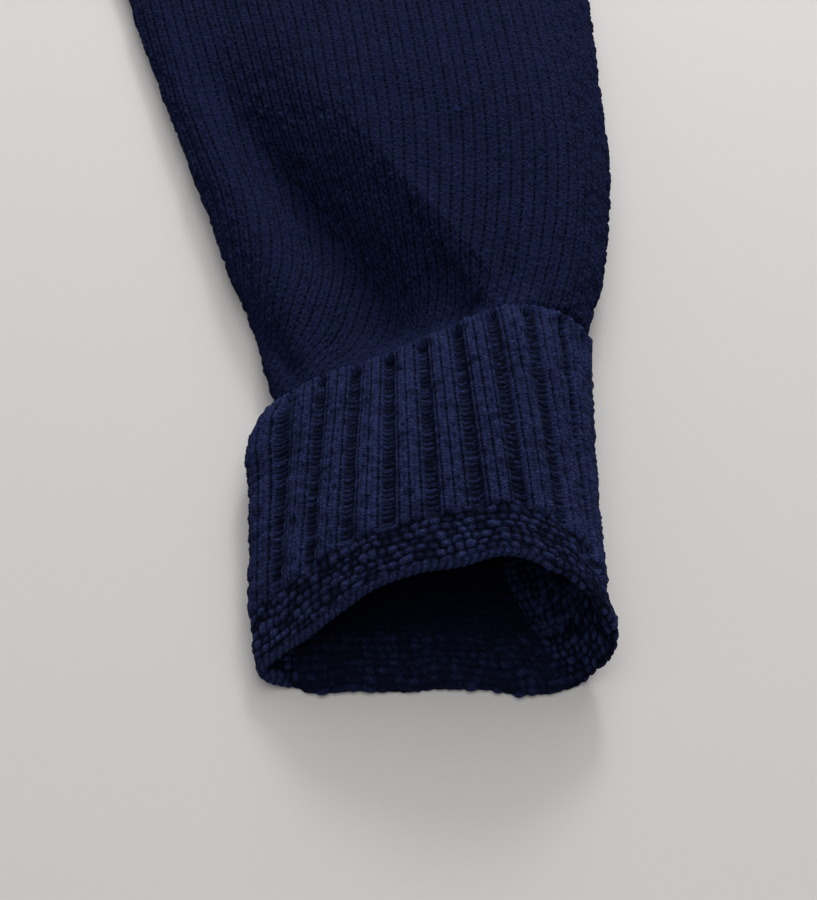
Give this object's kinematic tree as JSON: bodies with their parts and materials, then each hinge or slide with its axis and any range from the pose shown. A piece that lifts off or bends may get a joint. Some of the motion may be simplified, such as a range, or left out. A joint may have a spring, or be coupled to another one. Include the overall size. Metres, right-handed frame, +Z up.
{
  "type": "crewneck sweater",
  "caption": "Navy blue crewneck pullover in chunky wool stockinette with ribbed cuffs, hem and neckband, laid flat front up with one sleeve folded into a soft ridge.",
  "frame": {"origin": "centre of the garment's bounding box on the surface that it lies on", "axes": "+X towards the wearer's left sleeve, +Y towards the neck, +Z up from the surface"},
  "size_m": [1.3258, 0.6894, 0.0439],
  "materials": {
    "navy_stockinette": "matt",
    "navy_rib": "matt"
  },
  "bodies": {
    "root": {"back": "navy_stockinette", "front": "navy_stockinette", "sleeve_left": "navy_stockinette", "sleeve_right": "navy_stockinette", "cuff_left": "navy_rib", "cuff_right": "navy_rib", "hem_front": "navy_rib", "hem_back": "navy_rib", "neckband": "navy_rib"}
  },
  "joints": []
}
